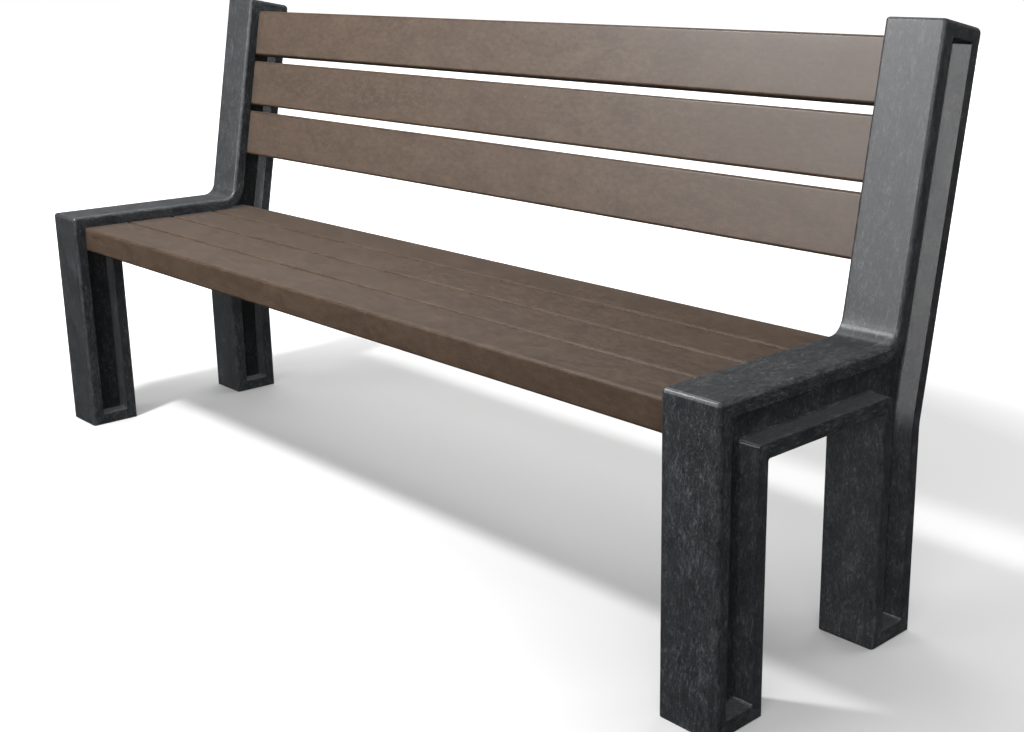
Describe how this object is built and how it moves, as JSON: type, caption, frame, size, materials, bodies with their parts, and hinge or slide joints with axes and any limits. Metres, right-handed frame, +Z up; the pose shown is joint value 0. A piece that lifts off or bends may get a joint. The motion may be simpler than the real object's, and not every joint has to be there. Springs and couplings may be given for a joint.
{
  "type": "park bench",
  "caption": "Park bench with a backrest: plank seat and back carried by two moulded h-shaped side frames with recessed sides",
  "frame": {"origin": "on the floor, at the middle of the bench's bounding box", "axes": "+X along the bench, towards the right end for someone who faces its front; +Y from the front of the seat to the back; +Z up"},
  "size_m": [1.948, 0.5659, 0.9298],
  "materials": {
    "frame_plastic": "anthracite recycled plastic, satin, with fine paler flecks and flow streaks",
    "plank_plastic": "brown recycled plastic, satin, faintly mottled along the plank",
    "steel": "plain stainless steel"
  },
  "bodies": {
    "root": {"back_plank_1": "plank_plastic", "back_plank_2": "plank_plastic", "back_plank_3": "plank_plastic", "left_side_frame": "frame_plastic", "right_side_frame": "frame_plastic", "screw_back_plank_1_left_1": "steel", "screw_back_plank_1_left_2": "steel", "screw_back_plank_1_right_1": "steel", "screw_back_plank_1_right_2": "steel", "screw_back_plank_2_left_1": "steel", "screw_back_plank_2_left_2": "steel", "screw_back_plank_2_right_1": "steel", "screw_back_plank_2_right_2": "steel", "screw_back_plank_3_left_1": "steel", "screw_back_plank_3_left_2": "steel", "screw_back_plank_3_right_1": "steel", "screw_back_plank_3_right_2": "steel", "screw_seat_plank_1_left_1": "steel", "screw_seat_plank_1_right_1": "steel", "screw_seat_plank_2_left_1": "steel", "screw_seat_plank_2_left_2": "steel", "screw_seat_plank_2_right_1": "steel", "screw_seat_plank_2_right_2": "steel", "screw_seat_plank_3_left_1": "steel", "screw_seat_plank_3_left_2": "steel", "screw_seat_plank_3_right_1": "steel", "screw_seat_plank_3_right_2": "steel", "screw_seat_plank_4_left_1": "steel", "screw_seat_plank_4_right_1": "steel", "seat_plank_1": "plank_plastic", "seat_plank_2": "plank_plastic", "seat_plank_3": "plank_plastic", "seat_plank_4": "plank_plastic", "washer_back_plank_1_left_1": "steel", "washer_back_plank_1_left_2": "steel", "washer_back_plank_1_right_1": "steel", "washer_back_plank_1_right_2": "steel", "washer_back_plank_2_left_1": "steel", "washer_back_plank_2_left_2": "steel", "washer_back_plank_2_right_1": "steel", "washer_back_plank_2_right_2": "steel", "washer_back_plank_3_left_1": "steel", "washer_back_plank_3_left_2": "steel", "washer_back_plank_3_right_1": "steel", "washer_back_plank_3_right_2": "steel", "washer_seat_plank_1_left_1": "steel", "washer_seat_plank_1_right_1": "steel", "washer_seat_plank_2_left_1": "steel", "washer_seat_plank_2_left_2": "steel", "washer_seat_plank_2_right_1": "steel", "washer_seat_plank_2_right_2": "steel", "washer_seat_plank_3_left_1": "steel", "washer_seat_plank_3_left_2": "steel", "washer_seat_plank_3_right_1": "steel", "washer_seat_plank_3_right_2": "steel", "washer_seat_plank_4_left_1": "steel", "washer_seat_plank_4_right_1": "steel"}
  },
  "joints": []
}
